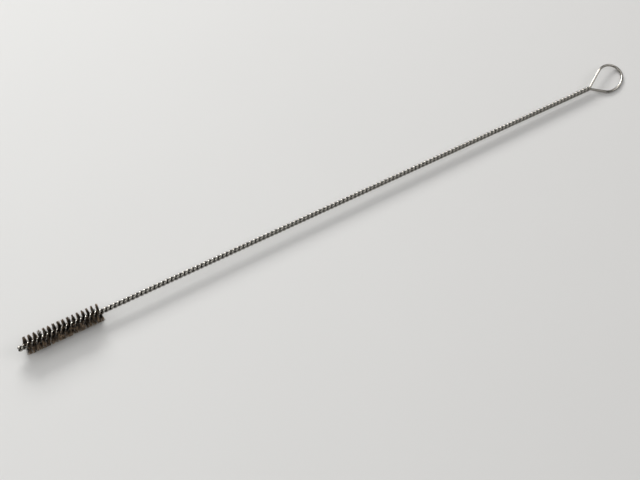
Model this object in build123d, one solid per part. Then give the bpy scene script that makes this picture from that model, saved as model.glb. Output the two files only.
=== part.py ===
from build123d import *
from math import acos, asin, atan2, cos, degrees, hypot, pi, radians, sin
import os

# A twisted-in-wire brush for test tubes, lying on a table, in millimetres.
# One steel wire is folded in half. The fold is the finger loop, and its two legs are twisted together.
# Near their cut ends the legs grip a fill of bristles between them, and the twist fans it out.
# X runs along the brush from the cut ends to the loop, and Z is up from the table.
# The origin is on the table, under the middle of the brush's box.

# Wire, drawn as flats and straight runs so that its many turns stay light
wire_diameter = 1.2
wire_sides = 6
runs_per_turn = 5
leg_gap = 0.04  # hairline left between the two legs of the bare stem

# Stem and cut ends
stem_length = 243.8  # from the last bristles to where the legs part for the loop
stem_pitch = 3.84  # advance of a leg in one full turn
tip_length = 2.1  # bare wire past the first bristles

# Bristle head
head_diameter = 7.5
head_length = 32.4
head_ridges = 16  # ridges along the head, one for each half turn of the legs
bundles_per_ridge = 6
bundle_spread = 0.95  # share of its sector that a bundle fills at the head's rim
grip_thickness = 0.2  # bristles pressed flat between the legs
grip_length = 0.2  # a bundle's share of the wire, measured along the brush
grip_reach = 1.0  # where a bundle is clear of the legs and starts to fan out
ridge_thickness = 0.95  # a ridge at its rim, measured along the brush
leg_clearance = 0.1  # left between the bristles and the wire

# Finger loop, an oval bow with two straight legs
loop_reach = 12.3  # from the parting of the legs to the middle of the oval
loop_offset = 0.85  # the middle stands off the brush's own line to the far side
loop_half_length = 8.4
loop_half_width = 5.65
loop_turn = 28  # degrees from the brush's own line to the oval's long way, towards the far side
loop_drop = 1.6  # the wire's middle on the table lies this far under the brush's own line
loop_rise = 3.0  # the far side springs this far off the table
far_start = -25  # degrees round the oval, from its outer end, where the far side starts to rise
near_start = -130  # the same for the near side, which rises to meet the lower leg
bow_runs = 24

# Worked out from the sizes above
wire_radius = wire_diameter / 2
head_radius = head_diameter / 2
head_pitch = 2 * head_length / head_ridges
mid_run = cos(pi / runs_per_turn)  # the middle of a straight run is this share of the bends' radius
stem_helix_radius = (wire_radius + leg_gap / 2) / mid_run
head_helix_radius = (wire_radius + grip_thickness / 2 + leg_clearance) / mid_run
parting_height = loop_drop + wire_radius  # of the brush's own line, above the table
lean = degrees(asin((head_radius - parting_height) / stem_length))  # the bristles next to the stem touch the table
lay_down = Pos(0, 0, parting_height) * Rot(0, lean, 0)


def helix_stations():
    """(distance back from the parting, helix radius) at each bend of a leg, from the parting to the cut end."""
    stem_runs = round(stem_length / stem_pitch * runs_per_turn)
    head_runs = round(head_length / head_pitch * runs_per_turn)
    tip_runs = round(tip_length / stem_pitch * runs_per_turn)
    head_end = stem_length + head_length
    stem = [(stem_length * i / stem_runs, stem_helix_radius) for i in range(stem_runs)]
    head = [(stem_length + head_length * i / head_runs, head_helix_radius) for i in range(head_runs + 1)]
    tip = [(head_end + tip_length * i / tip_runs, stem_helix_radius) for i in range(1, tip_runs + 1)]
    return stem + head + tip


def twisted_leg(start_angle):
    """The bends of one leg, from the parting to its cut end. At 90 degrees a leg is on top."""
    bends = []
    for index, (back, radius) in enumerate(helix_stations()):
        angle = radians(start_angle + 360 * index / runs_per_turn)
        point = lay_down * Pos(-back, radius * cos(angle), radius * sin(angle))
        bends.append(point.position)
    return bends


def leg_angles():
    """Angles on the loop's oval where straight lines from the parting of the legs touch it, far side first."""
    parting = Vector(-loop_reach, -loop_offset).rotate(Axis.Z, -loop_turn)  # seen from the middle of the oval
    along, across = parting.X / loop_half_length, parting.Y / loop_half_width
    middle = degrees(atan2(across, along)) % 360
    spread = degrees(acos(1 / hypot(along, across)))
    return middle - spread, middle + spread - 360


def on_oval(angle, height):
    """The point of the loop's oval at an angle from its outer end, at a height over the table."""
    round_middle = Vector(loop_half_length * cos(radians(angle)), loop_half_width * sin(radians(angle)))
    return Vector(loop_reach, loop_offset, height) + round_middle.rotate(Axis.Z, loop_turn)


def bow():
    """The round of the loop. It lies on the table at its outer end and rises towards both legs."""
    far_end, near_end = leg_angles()
    leg_run = on_oval(near_end, 0).length
    bow_run = radians(near_start - near_end) * loop_half_length
    climb = parting_height - stem_helix_radius - wire_radius
    near_rise = climb * bow_run / (bow_run + 2 * leg_run)  # so that the bow meets the lower leg with no kink
    bends = []
    for index in range(bow_runs + 1):
        angle = far_end + (near_end - far_end) * index / bow_runs
        far_share = max((angle - far_start) / (far_end - far_start), 0)
        near_share = max((near_start - angle) / (near_start - near_end), 0)
        rise = loop_rise * sin(far_share * pi / 2) ** 2 + near_rise * near_share**2
        bends.append(on_oval(angle, wire_radius + rise))
    return bends


def twisted_wire():
    """The whole wire in one sweep: cut end, twisted leg, finger loop, the other twisted leg and its cut end."""
    upper, lower = twisted_leg(90), twisted_leg(270)
    path = Polyline(*reversed(upper), *bow(), *lower)
    section = Plane(path @ 0, z_dir=path % 0) * RegularPolygon(wire_radius, wire_sides)
    return sweep(section, path=path, transition=Transition.RIGHT)


def double_fan(reach, middle, rim):
    """A flat outline that is narrow between the legs and wider at both of its ends."""
    right = [(grip_reach, middle / 2), (reach, rim / 2), (reach, -rim / 2), (grip_reach, -middle / 2)]
    left = [(-x, -y) for x, y in right]
    return make_face(Polyline(*right, *left, close=True))


def bristle_bundle():
    """One bundle of bristles, pressed flat between the legs and fanned out on both sides of the wire."""
    half_sector = radians(bundle_spread * 90 / bundles_per_ridge)
    reach = head_radius * cos(half_sector)
    rim_width = 2 * head_radius * sin(half_sector)
    seen_from_end = Plane.YZ * double_fan(reach, grip_thickness, rim_width)
    seen_from_side = Plane(origin=(0, 0, 0), x_dir=(0, 1, 0), z_dir=(0, 0, 1)) * double_fan(
        reach, grip_length, ridge_thickness
    )
    return extrude(seen_from_end, head_radius, both=True) & extrude(seen_from_side, head_radius, both=True)


def bristle_fill():
    """All the bundles, each turned with the legs that hold it, so that they stand in two winding ridges."""
    one = bristle_bundle()
    count = head_ridges * bundles_per_ridge
    stem_turns = round(stem_length / stem_pitch * runs_per_turn) / runs_per_turn
    bundles = []
    for index in range(count):
        back = ridge_thickness / 2 + (head_length - ridge_thickness) * index / (count - 1)
        turn = 360 * (stem_turns + back / head_pitch)
        bundles.append(lay_down * Pos(-stem_length - back, 0, 0) * Rot(turn, 0, 0) * one)
    return Compound([bundle.solid() for bundle in bundles])


def main():
    os.makedirs("parts", exist_ok=True)
    nodes = {"twisted_wire": twisted_wire(), "bristle_fill": bristle_fill()}
    box = Compound([solid for node in nodes.values() for solid in node.solids()]).bounding_box()
    centre = box.center()
    for name, node in nodes.items():
        export_step(Pos(-centre.X, -centre.Y, -box.min.Z) * node, f"parts/{name}.step")


main()
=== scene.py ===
from math import acos, asin, atan2, cos, degrees, hypot, pi, radians, sin

import bpy
import numpy as np
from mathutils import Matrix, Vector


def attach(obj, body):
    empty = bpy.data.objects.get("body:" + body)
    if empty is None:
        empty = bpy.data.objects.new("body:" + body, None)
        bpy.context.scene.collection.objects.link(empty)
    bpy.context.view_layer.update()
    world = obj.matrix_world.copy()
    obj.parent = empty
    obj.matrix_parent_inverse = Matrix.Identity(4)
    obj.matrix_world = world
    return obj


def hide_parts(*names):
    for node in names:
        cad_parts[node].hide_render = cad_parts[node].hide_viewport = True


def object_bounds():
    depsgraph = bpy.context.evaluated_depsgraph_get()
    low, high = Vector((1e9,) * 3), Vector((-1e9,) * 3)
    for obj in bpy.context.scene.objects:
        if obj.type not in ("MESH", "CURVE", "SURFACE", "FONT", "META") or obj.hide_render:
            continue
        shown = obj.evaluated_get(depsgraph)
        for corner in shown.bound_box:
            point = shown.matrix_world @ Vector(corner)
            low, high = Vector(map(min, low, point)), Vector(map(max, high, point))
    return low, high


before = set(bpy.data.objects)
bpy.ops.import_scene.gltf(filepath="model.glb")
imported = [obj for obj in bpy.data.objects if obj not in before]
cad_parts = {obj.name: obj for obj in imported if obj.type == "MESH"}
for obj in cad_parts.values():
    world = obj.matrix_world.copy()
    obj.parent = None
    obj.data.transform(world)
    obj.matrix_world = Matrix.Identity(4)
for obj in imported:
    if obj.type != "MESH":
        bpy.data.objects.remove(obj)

# The looks of a twisted-in-wire brush for test tubes, lying on a table.
# X runs along the brush from the cut ends of the wire to the loop, and Z is up from the table.
# Sizes of the brush are in millimetres until its meshes are made. Floor, lights and camera are in metres.
MM = 0.001
cad_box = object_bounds()

# Wire and stem
WIRE_RADIUS = 0.6
WIRE_SIDES = 14
SAMPLES_PER_TURN = 24
END_EDGE = 0.14  # radius of the edge round a cut end
STEM_LENGTH = 243.8  # from the last bristles to where the legs part for the loop
STEM_TURNS = 63.4
TIP_LENGTH = 2.1  # bare wire past the first bristles
TIP_TURNS = 0.6
STEM_HELIX_RADIUS = 0.605
HEAD_HELIX_RADIUS = 0.7
GRIP_RAMP = 1.2  # over this length the legs open to take the bristles
GROOVE_EDGE = 1.08  # the groove between the legs starts this far from the brush's own line
GROOVE_DEPTH = 0.36  # this much further in, the painted shade is at its darkest

# Bristle head
HEAD_RADIUS = 3.75
HEAD_LENGTH = 32.4
HEAD_TURNS = 8
SEED = 7
TUFTS = 480
TUFT_INSET = 0.35  # the first and the last tuft stand this far inside the head
TIP_OVERHANG = 0.3  # a filament's tip leans this far out of the head's end at the most
FILAMENTS_PER_TUFT = 4
FILAMENT_RADIUS = 0.07
FILAMENT_TAPER = 0.8  # a tip is this share of the filament's thickness
FILAMENT_STEPS = 5
FILAMENT_SIDES = 3
FLOOR_GAP = 0.01  # left between the table and the filaments that touch it

# How filaments stray from standing straight out: slope along the brush, swing round it and curl along it
FREE_SPREAD = np.array([0.03, 0.10, 0.10])
PRESSED_SPREAD = np.array([0.20, 0.20, 0.30])  # added where the brush was pressed
PRESSED_ANGLE = radians(200)  # the middle of the pressed side, towards the table and the near side
PRESSED_BLEND = 1.2
OWN_SPREAD = 0.28  # a filament's own share, next to what its tuft has in common
ANGLE_SCATTER = 0.06
BACK_SCATTER = 0.06
LONGEST_REACH = 1.028  # of the head's radius
REACH_SCATTER = 0.02

# How pale a tuft is, from 0 to 1, with painted light on the pressed side
FREE_TONE = 0.6  # the palest of the tufts that stand free
PRESSED_TONE = 0.4  # painted light, added to the palest ones where the brush was pressed
PRESSED_TONE_FLOOR = 0.12  # painted light, added to all the pressed ones
END_TONE = 0.5  # painted light, added to the pressed ones near the cut ends
END_TONE_LENGTH = 2.0
END_TONE_RAMP = 1.6
TONE_SCATTER = 0.15

# Finger loop, an oval bow with two straight legs
LOOP_REACH = 12.3  # from the parting of the legs to the middle of the oval
LOOP_OFFSET = 0.85  # the middle stands off the brush's own line to the far side
LOOP_HALF_LENGTH = 8.4
LOOP_HALF_WIDTH = 5.65
LOOP_TURN = radians(28)
LOOP_DROP = 1.6  # the wire's middle on the table lies this far under the brush's own line
LOOP_RISE = 3.0  # the far side springs this far off the table
FAR_START = -25  # degrees round the oval, from its outer end, where the far side starts to rise
NEAR_START = -130  # the same for the near side, which rises to meet the lower leg
BOW_SAMPLES = 160
LEG_SPACING = 0.2
SOFT_BENDS = 5  # bends of each twisted leg next to the loop that give way when the line is smoothed
SMOOTHING_PASSES = 60
SMOOTHING_STEP = 0.5

# Colours in linear red, green and blue. Where there are two, the surface varies between them.
STEEL = (0.30, 0.285, 0.255), (0.44, 0.425, 0.395)
# painted shade in the groove between the twisted legs
GROOVE_SHADE = (0.03, 0.025, 0.02)
# painted shade: the filaments are dark next to the wire, inside the head
BRISTLE_ROOT_SHADE = (0.005, 0.0035, 0.0025), (0.016, 0.011, 0.007)
BRISTLE_TIPS = (0.022, 0.016, 0.011), (0.56, 0.42, 0.29)
# painted light: the table is paler on the left, where light falls off towards the right
TABLE_LEFT = (0.74, 0.742, 0.735), (0.76, 0.762, 0.755)
TABLE_RIGHT = (0.63, 0.628, 0.622), (0.65, 0.648, 0.642)
WINDOW_LIGHT = (1.0, 0.99, 0.975)
ROOM_LIGHT = (1.0, 0.99, 0.98)

# Finishes
STREAKS_ALONG = 60  # noise cells in a metre of wire
STREAKS_AROUND = 9
STREAK_BUMP = 0.12
STREAK_HEIGHT = 0.00002
BLOTCH_SCALE = 900
MOTTLE_SCALE = 9
# how far the painted shade in the groove darkens the steel
MOST_GROOVE_SHADE = 0.96
STEEL_ROUGHNESS = 0.12, 0.20
BRISTLE_ROUGHNESS = 0.45, 0.6
BRISTLE_SHINE = 0.15
TIP_COLOUR_START = 0.55  # share of a filament's length from the wire, painted dark as shade up to there
TABLE_ROUGHNESS = 0.75
TABLE_SHINE = 0.2

# Camera, table and lights, in metres
CAMERA_PLACE = (-0.12924, -0.20802, 0.3592)
CAMERA_PITCH = radians(32)  # from looking straight down
CAMERA_TURN = radians(-29.01)
CAMERA_LENS = 56.25  # millimetres, on the sensor's width
CAMERA_SENSOR = 36
TABLE_SIZE = 6
TABLE_FADE = 0.17  # the table's colour, with painted light falloff, fades between this far left and this far right of the brush
LIGHT_DISTANCE = 2.0
WORLD_STRENGTH = 0.15

# Worked out from the sizes above
PARTING_HEIGHT = LOOP_DROP + WIRE_RADIUS  # of the brush's own line, above the table
LEAN = asin((HEAD_RADIUS - PARTING_HEIGHT) / STEM_LENGTH)  # the bristles next to the stem touch the table
HEAD_END = STEM_LENGTH + HEAD_LENGTH


def parting_of_legs():
    """The place on the table where the legs part. The loop that starts there fills the frame's far corner."""
    half_length = hypot(LOOP_HALF_LENGTH * cos(LOOP_TURN), LOOP_HALF_WIDTH * sin(LOOP_TURN))
    half_width = hypot(LOOP_HALF_LENGTH * sin(LOOP_TURN), LOOP_HALF_WIDTH * cos(LOOP_TURN))
    loop_along = LOOP_REACH + half_length + WIRE_RADIUS
    loop_across = LOOP_OFFSET + half_width + WIRE_RADIUS
    return np.array([cad_box[1][0] / MM - loop_along, cad_box[1][1] / MM - loop_across, 0.0])


PARTING = parting_of_legs()


def lay_down(back, across, up):
    """A point given from the parting, back along the brush's own line, set in the frame of the part."""
    along = -back * cos(LEAN) + up * sin(LEAN)
    height = back * sin(LEAN) + up * cos(LEAN) + PARTING_HEIGHT
    return PARTING + np.array([along, across, height])


def smooth_step(value):
    """0 below 0, 1 above 1, and a smooth ramp between them."""
    share = min(max(value, 0.0), 1.0)
    return share * share * (3 - 2 * share)


def turns_at(back):
    """How many turns the wire has made at a distance back from the parting."""
    if back <= STEM_LENGTH:
        return STEM_TURNS * back / STEM_LENGTH
    if back <= HEAD_END:
        return STEM_TURNS + HEAD_TURNS * (back - STEM_LENGTH) / HEAD_LENGTH
    return STEM_TURNS + HEAD_TURNS + TIP_TURNS * (back - HEAD_END) / TIP_LENGTH


def helix_radius(back):
    """How far a leg's middle is from the brush's own line. The legs stand further apart where they grip."""
    opening = smooth_step((back - STEM_LENGTH) / GRIP_RAMP + 0.5)
    closing = smooth_step((HEAD_END - back) / GRIP_RAMP + 0.5)
    return STEM_HELIX_RADIUS + (HEAD_HELIX_RADIUS - STEM_HELIX_RADIUS) * min(opening, closing)


def twisted_leg(start_angle):
    """The middle of one leg, from the parting to its cut end. At 90 degrees a leg is on top."""
    total = HEAD_END + TIP_LENGTH
    count = round((STEM_TURNS + HEAD_TURNS + TIP_TURNS) * SAMPLES_PER_TURN)
    points = []
    for index in range(count + 1):
        back = total * index / count
        angle = radians(start_angle) + 2 * pi * turns_at(back)
        radius = helix_radius(back)
        points.append(lay_down(back, radius * cos(angle), radius * sin(angle)))
    return points


def turned(along, across, angle):
    """A flat point turned round the origin."""
    return along * cos(angle) - across * sin(angle), along * sin(angle) + across * cos(angle)


def on_oval(angle, height):
    """The point of the loop's oval at an angle in degrees from its outer end, at a height over the table."""
    long_way, short_way = LOOP_HALF_LENGTH * cos(radians(angle)), LOOP_HALF_WIDTH * sin(radians(angle))
    along, across = turned(long_way, short_way, LOOP_TURN)
    return PARTING + np.array([LOOP_REACH + along, LOOP_OFFSET + across, height])


def leg_angles():
    """Angles on the oval where straight lines from the parting of the legs touch it, far side first."""
    long_way, short_way = turned(-LOOP_REACH, -LOOP_OFFSET, -LOOP_TURN)
    along, across = long_way / LOOP_HALF_LENGTH, short_way / LOOP_HALF_WIDTH
    middle = degrees(atan2(across, along)) % 360
    spread = degrees(acos(1 / hypot(along, across)))
    return middle - spread, middle + spread - 360


def bow():
    """The middle of the loop's wire, from the end of the far leg round to the end of the near leg."""
    far_end, near_end = leg_angles()
    leg_run = np.linalg.norm(on_oval(near_end, 0) - PARTING)
    bow_run = radians(NEAR_START - near_end) * LOOP_HALF_LENGTH
    climb = PARTING_HEIGHT - STEM_HELIX_RADIUS - WIRE_RADIUS
    near_rise = climb * bow_run / (bow_run + 2 * leg_run)  # so that the bow meets the lower leg with no kink
    points = []
    for index in range(BOW_SAMPLES + 1):
        angle = far_end + (near_end - far_end) * index / BOW_SAMPLES
        far_share = max((angle - FAR_START) / (far_end - FAR_START), 0)
        near_share = max((NEAR_START - angle) / (NEAR_START - near_end), 0)
        rise = LOOP_RISE * sin(far_share * pi / 2) ** 2 + near_rise * near_share**2
        points.append(on_oval(angle, WIRE_RADIUS + rise))
    return points


def straight_run(start, end):
    """Points between two ends, without the ends."""
    count = round(np.linalg.norm(end - start) / LEG_SPACING)
    return [start + (end - start) * index / count for index in range(1, count)]


def wire_line():
    """The middle of the whole wire, from one cut end round the loop to the other."""
    upper, lower, round_part = twisted_leg(90), twisted_leg(270), bow()
    loop = straight_run(upper[0], round_part[0]) + round_part + straight_run(round_part[-1], lower[0])
    points = np.array(upper[::-1] + loop + lower)
    loop_start, loop_end = len(upper), len(upper) + len(loop)
    free = np.zeros(len(points))
    free[loop_start:loop_end] = 1
    for step in range(SOFT_BENDS):
        give = 1 - (step + 1) / (SOFT_BENDS + 1)
        free[loop_start - 1 - step] = give
        free[loop_end + step] = give
    for _ in range(SMOOTHING_PASSES):
        middle = (points[:-2] + points[2:]) / 2
        points[1:-1] += SMOOTHING_STEP * free[1:-1, None] * (middle - points[1:-1])
    return points


def rounded_ends(points):
    """The wire's line with a small rounded edge added at both ends, and the wire's radius at each point."""
    edge_angles = np.array([0.5, 1.0, pi / 2])
    edge_radii = WIRE_RADIUS - END_EDGE * (1 - np.cos(edge_angles))
    steps = END_EDGE * np.sin(edge_angles)[:, None]
    first_way = (points[0] - points[1]) / np.linalg.norm(points[0] - points[1])
    last_way = (points[-1] - points[-2]) / np.linalg.norm(points[-1] - points[-2])
    first_edge = (points[0] + steps * first_way)[::-1]
    last_edge = points[-1] + steps * last_way
    radii = np.concatenate([edge_radii[::-1], np.full(len(points), WIRE_RADIUS), edge_radii])
    return np.vstack([first_edge, points, last_edge]), radii


def tube(points, radii, sides):
    """Vertices and faces of a round tube along points, closed at both ends."""
    tangents = np.gradient(points, axis=0)
    tangents /= np.linalg.norm(tangents, axis=1)[:, None]
    any_way = [0.3, 0.9, 0.2]  # a direction that no tube starts in
    normal = np.cross(tangents[0], any_way)
    normal /= np.linalg.norm(normal)
    angles = 2 * pi * np.arange(sides)[:, None] / sides
    rings = []
    for point, tangent, radius in zip(points, tangents, radii):
        normal = normal - tangent * normal.dot(tangent)
        normal /= np.linalg.norm(normal)
        side = np.cross(tangent, normal)
        rings.append(point + radius * (np.cos(angles) * normal + np.sin(angles) * side))
    faces = []
    for ring in range(len(points) - 1):
        low, high = ring * sides, (ring + 1) * sides
        for corner in range(sides):
            following = (corner + 1) % sides
            faces.append((low + corner, low + following, high + following, high + corner))
    last = (len(points) - 1) * sides
    faces.append(tuple(range(sides - 1, -1, -1)))
    faces.append(tuple(range(last, last + sides)))
    return np.vstack(rings), faces


def make_piece(name, vertices, faces):
    """A smooth-shaded mesh object from points in millimetres."""
    mesh = bpy.data.meshes.new(name)
    mesh.from_pydata((vertices * MM).tolist(), [], faces)
    mesh.update()
    mesh.polygons.foreach_set("use_smooth", [True] * len(mesh.polygons))
    piece = bpy.data.objects.new(name, mesh)
    bpy.context.scene.collection.objects.link(piece)
    return piece


def store(piece, name, values):
    """Keeps one number for each vertex, for the piece's material to read."""
    attribute = piece.data.attributes.new(name, "FLOAT", "POINT")
    attribute.data.foreach_set("value", values)


# the depth between the legs is the mask of the wire's painted shade
def groove_depths(vertices):
    """How deep each point lies between the two twisted legs, from 0 at their outside to 1 where they meet."""
    start, end = lay_down(0, 0, 0), lay_down(STEM_LENGTH, 0, 0)
    axis = (end - start) / np.linalg.norm(end - start)
    along = (vertices - start) @ axis
    off_axis = np.linalg.norm(vertices - start - along[:, None] * axis, axis=1)
    return np.where(along > 0, np.clip((GROOVE_EDGE - off_axis) / GROOVE_DEPTH, 0, 1), 0)


def build_wire():
    """The whole wire in one piece, with the places along it and round it that its material reads."""
    points, radii = rounded_ends(wire_line())
    vertices, faces = tube(points, radii, WIRE_SIDES)
    piece = make_piece("wire_drawn", vertices, faces)
    run = np.concatenate([[0], np.cumsum(np.linalg.norm(np.diff(points, axis=0), axis=1))])
    around = np.sin(2 * pi * np.arange(WIRE_SIDES) / WIRE_SIDES)
    store(piece, "along_wire", np.repeat(run * MM, WIRE_SIDES))
    store(piece, "around_wire", np.tile(around, len(points)))
    store(piece, "groove", groove_depths(vertices))
    return piece


def pressed_share(angle):
    """How much the bristles at an angle round the brush were pressed, from 0 to 1."""
    return smooth_step(0.5 + cos(angle - PRESSED_ANGLE) / PRESSED_BLEND)


def tone_of_tuft(back, pressed, chance):
    """How pale a tuft's tips are. Most are dark, and the pressed ones near the cut ends are the palest, with
    painted light on the pressed side.
    """
    # painted light on the pressed side, which faces the table and the near side
    at_end = pressed * smooth_step((back - HEAD_END + END_TONE_LENGTH) / END_TONE_RAMP)
    own = chance.uniform(0, 1) ** 2 * (FREE_TONE + PRESSED_TONE * pressed)
    return own + PRESSED_TONE_FLOOR * pressed + END_TONE * at_end


def filament_line(back, angle, bend, reach):
    """The middle of one half of a filament, from the wire to its tip. It stays above the table."""
    slope, swing, curl = bend
    out = np.array([cos(angle), sin(angle)])
    side = np.array([-sin(angle), cos(angle)])
    points = []
    for share in np.linspace(0, 1, FILAMENT_STEPS + 1):
        distance = reach * share
        cross = out * distance + side * swing * share**2
        points.append(lay_down(back + distance * slope + curl * share**2, cross[0], cross[1]))
    line = np.array(points)
    line[:, 2] = np.maximum(line[:, 2], FILAMENT_RADIUS + FLOOR_GAP)
    return line


def stray_filament(back, angle, bend, spread, chance):
    """The middle of a filament that strays a little from its tuft, but not out of the head's ends."""
    own_bend = bend + chance.normal(0, OWN_SPREAD, 3) * spread
    own_angle = angle + chance.normal(0, ANGLE_SCATTER)
    own_back = back + chance.normal(0, BACK_SCATTER)
    slope, _, curl = own_bend
    tip_back = own_back + HEAD_RADIUS * slope + curl
    if not STEM_LENGTH - TIP_OVERHANG < tip_back < HEAD_END + TIP_OVERHANG:
        own_bend = -own_bend
    reach = HEAD_RADIUS * (LONGEST_REACH - abs(chance.normal(0, REACH_SCATTER)))
    return filament_line(own_back, own_angle, own_bend, reach)


def grow_bristles():
    """Each filament's line with its tone. A tuft is gripped in its middle and stands out on both sides."""
    chance = np.random.default_rng(SEED)
    filaments = []
    for tuft in range(TUFTS):
        share = (tuft + 0.5) / TUFTS
        back = STEM_LENGTH + TUFT_INSET + (HEAD_LENGTH - 2 * TUFT_INSET) * share
        for half_turn in (0, pi):
            angle = 2 * pi * turns_at(back) + half_turn
            pressed = pressed_share(angle)
            spread = FREE_SPREAD + PRESSED_SPREAD * pressed
            bend = chance.normal(0, 1, 3) * spread
            tuft_tone = tone_of_tuft(back, pressed, chance)
            for _ in range(FILAMENTS_PER_TUFT):
                line = stray_filament(back, angle, bend, spread, chance)
                tone = min(max(tuft_tone + chance.normal(0, TONE_SCATTER), 0), 1)
                filaments.append((line, tone))
    return filaments


def build_bristles():
    """All the filaments in one piece, with each one's tone and the way along it that its material reads."""
    filaments = grow_bristles()
    radii = FILAMENT_RADIUS * np.linspace(1, FILAMENT_TAPER, FILAMENT_STEPS + 1)
    corners = len(radii) * FILAMENT_SIDES
    all_vertices, all_faces = [], []
    for index, (line, _) in enumerate(filaments):
        vertices, faces = tube(line, radii, FILAMENT_SIDES)
        all_vertices.append(vertices)
        all_faces.extend(tuple(corner + index * corners for corner in face) for face in faces)
    piece = make_piece("bristles", np.vstack(all_vertices), all_faces)
    reach = np.repeat(np.linspace(0, 1, len(radii)), FILAMENT_SIDES)
    store(piece, "tone", np.repeat([tone for _, tone in filaments], corners))
    store(piece, "reach", np.tile(reach, len(filaments)))
    return piece


def new_material(name):
    """A material, its node tree and its shader."""
    material = bpy.data.materials.new(name)
    material.use_nodes = True
    return material, material.node_tree, material.node_tree.nodes["Principled BSDF"]


def read_attribute(tree, name):
    """The number that a piece keeps for each of its vertices."""
    node = tree.nodes.new("ShaderNodeAttribute")
    node.attribute_name = name
    return node.outputs["Fac"]


def object_place(tree):
    """Where a point lies on its piece, in metres."""
    return tree.nodes.new("ShaderNodeTexCoord").outputs["Object"]


def add_noise(tree, place, scale, detail, roughness=0.5):
    """A soft noise at a place."""
    noise = tree.nodes.new("ShaderNodeTexNoise")
    noise.inputs["Scale"].default_value = scale
    noise.inputs["Detail"].default_value = detail
    noise.inputs["Roughness"].default_value = roughness
    tree.links.new(place, noise.inputs["Vector"])
    return noise.outputs["Fac"]


def map_range(tree, source, low, high, from_low=0.0, from_high=1.0):
    """A number stretched from one range to another, and held at the ends."""
    node = tree.nodes.new("ShaderNodeMapRange")
    tree.links.new(source, node.inputs["Value"])
    node.inputs["From Min"].default_value = from_low
    node.inputs["From Max"].default_value = from_high
    node.inputs["To Min"].default_value = low
    node.inputs["To Max"].default_value = high
    return node.outputs["Result"]


def mix_colours(tree, factor, first, second):
    """A colour between two others. Each is written out or comes from another node."""
    mix = tree.nodes.new("ShaderNodeMix")
    mix.data_type = "RGBA"
    tree.links.new(factor, mix.inputs["Factor"])
    for name, colour in (("A", first), ("B", second)):
        if isinstance(colour, tuple):
            mix.inputs[name].default_value = (*colour, 1)
        else:
            tree.links.new(colour, mix.inputs[name])
    return mix.outputs["Result"]


def add_bump(tree, height, strength, distance):
    """A surface normal with small bumps."""
    bump = tree.nodes.new("ShaderNodeBump")
    bump.inputs["Strength"].default_value = strength
    bump.inputs["Distance"].default_value = distance
    tree.links.new(height, bump.inputs["Height"])
    return bump.outputs["Normal"]


def wire_material():
    """Drawn steel with fine streaks along the wire, soft blotches, and painted shade between the twisted
    legs.
    """
    material, tree, shader = new_material("drawn_wire")
    along = map_range(tree, read_attribute(tree, "along_wire"), 0, STREAKS_ALONG)
    around = map_range(tree, read_attribute(tree, "around_wire"), 0, STREAKS_AROUND)
    streak_place = tree.nodes.new("ShaderNodeCombineXYZ")
    tree.links.new(along, streak_place.inputs["X"])
    tree.links.new(around, streak_place.inputs["Y"])
    streaks = add_noise(tree, streak_place.outputs["Vector"], scale=1, detail=4, roughness=0.6)
    blotches = add_noise(tree, object_place(tree), scale=BLOTCH_SCALE, detail=3)
    # painted shade between the twisted legs, darkest where they meet
    groove_shade_share = map_range(tree, read_attribute(tree, "groove"), 0, MOST_GROOVE_SHADE)
    colour = mix_colours(tree, groove_shade_share, mix_colours(tree, blotches, *STEEL), GROOVE_SHADE)
    roughness = map_range(tree, streaks, *STEEL_ROUGHNESS, from_low=0.3, from_high=0.7)
    tree.links.new(colour, shader.inputs["Base Color"])
    tree.links.new(roughness, shader.inputs["Roughness"])
    tree.links.new(add_bump(tree, streaks, STREAK_BUMP, STREAK_HEIGHT), shader.inputs["Normal"])
    shader.inputs["Metallic"].default_value = 1
    return material


def bristle_material():
    """Nylon filaments with painted shade that makes them dark next to the wire, running to their own tone at
    their tips.
    """
    material, tree, shader = new_material("bristle_nylon")
    tone = read_attribute(tree, "tone")
    towards_tip = map_range(tree, read_attribute(tree, "reach"), 0, 1, from_low=TIP_COLOUR_START)
    # painted shade inside the head, next to the wire
    root_shade = mix_colours(tree, tone, *BRISTLE_ROOT_SHADE)
    tips = mix_colours(tree, tone, *BRISTLE_TIPS)
    tree.links.new(mix_colours(tree, towards_tip, root_shade, tips), shader.inputs["Base Color"])
    tree.links.new(map_range(tree, tone, *BRISTLE_ROUGHNESS), shader.inputs["Roughness"])
    shader.inputs["Specular IOR Level"].default_value = BRISTLE_SHINE
    return material


def table_material():
    """A pale, faintly mottled table with painted light that makes it a little darker to the right."""
    material, tree, shader = new_material("pale_table")
    place = object_place(tree)
    mottle = add_noise(tree, place, scale=MOTTLE_SCALE, detail=3)
    axes = tree.nodes.new("ShaderNodeSeparateXYZ")
    tree.links.new(place, axes.inputs["Vector"])
    # painted light falloff from left to right
    to_right = map_range(tree, axes.outputs["X"], 0, 1, from_low=-TABLE_FADE, from_high=TABLE_FADE)
    left = mix_colours(tree, mottle, *TABLE_LEFT)
    right = mix_colours(tree, mottle, *TABLE_RIGHT)
    tree.links.new(mix_colours(tree, to_right, left, right), shader.inputs["Base Color"])
    shader.inputs["Roughness"].default_value = TABLE_ROUGHNESS
    shader.inputs["Specular IOR Level"].default_value = TABLE_SHINE
    return material


def build_table():
    """The plain table top, turned so that its colour, with painted light falloff, fades from the picture's
    left to its right.
    """
    bpy.ops.mesh.primitive_plane_add(size=TABLE_SIZE)
    table = bpy.context.object
    table.name = "table_top"
    table.rotation_euler.z = CAMERA_TURN
    table.data.materials.append(table_material())


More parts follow.
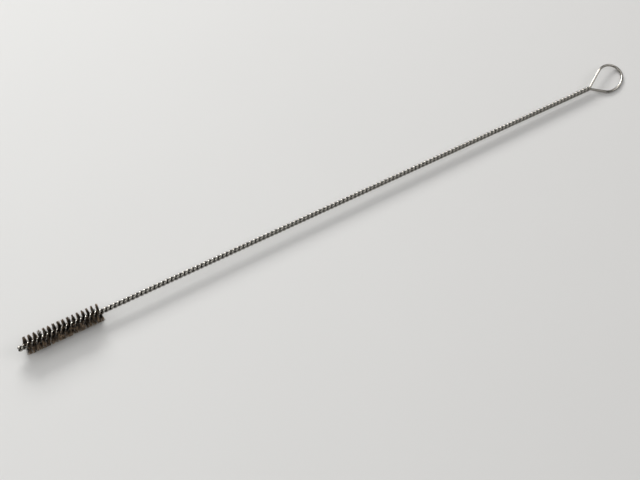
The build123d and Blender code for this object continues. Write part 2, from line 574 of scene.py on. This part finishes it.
def area_light(name, colour, azimuth, elevation, width, height, power):
    """A soft light that faces the middle of the brush. Azimuth is measured in degrees from +X towards +Y."""
    data = bpy.data.lights.new(name, "AREA")
    data.shape = "RECTANGLE"
    data.size = width
    data.size_y = height
    data.energy = power
    data.color = colour
    light = bpy.data.objects.new(name, data)
    bpy.context.scene.collection.objects.link(light)
    azimuth, elevation = radians(azimuth), radians(elevation)
    light.location = (
        LIGHT_DISTANCE * cos(elevation) * cos(azimuth),
        LIGHT_DISTANCE * cos(elevation) * sin(azimuth),
        LIGHT_DISTANCE * sin(elevation),
    )
    light.rotation_euler = (pi / 2 - elevation, 0, azimuth + pi / 2)


def build_light():
    """A low window behind the brush, softer light above it and from three other sides, and a dim world."""
    area_light("window", WINDOW_LIGHT, azimuth=77, elevation=25.5, width=1.2, height=0.58, power=34)
    area_light("soft_back", WINDOW_LIGHT, azimuth=75, elevation=50, width=2.6, height=1.5, power=11)
    area_light("front", WINDOW_LIGHT, azimuth=241, elevation=66, width=2.2, height=1.6, power=10)
    area_light("right_fill", ROOM_LIGHT, azimuth=-20, elevation=35, width=1.2, height=0.8, power=7)
    area_light("left_fill", ROOM_LIGHT, azimuth=165, elevation=35, width=1.2, height=0.8, power=6)
    world = bpy.data.worlds.new("studio")
    bpy.context.scene.world = world
    world.use_nodes = True
    background = world.node_tree.nodes["Background"]
    background.inputs["Color"].default_value = (1, 1, 1, 1)
    background.inputs["Strength"].default_value = WORLD_STRENGTH


def build_camera():
    """The camera at the photograph's viewing angle."""
    data = bpy.data.cameras.new("camera")
    data.sensor_width = CAMERA_SENSOR
    data.lens = CAMERA_LENS
    camera = bpy.data.objects.new("camera", data)
    bpy.context.scene.collection.objects.link(camera)
    camera.location = CAMERA_PLACE
    camera.rotation_euler = (CAMERA_PITCH, 0, CAMERA_TURN)
    bpy.context.scene.camera = camera


def dress(piece, material, node):
    """Gives a piece its material, and sets it in the place of a node of the frame."""
    piece.data.materials.append(material)
    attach(piece, "root")
    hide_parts(node)


bpy.context.scene.view_settings.view_transform = "Standard"
build_camera()
build_table()
build_light()
dress(build_wire(), wire_material(), "twisted_wire")
dress(build_bristles(), bristle_material(), "bristle_fill")
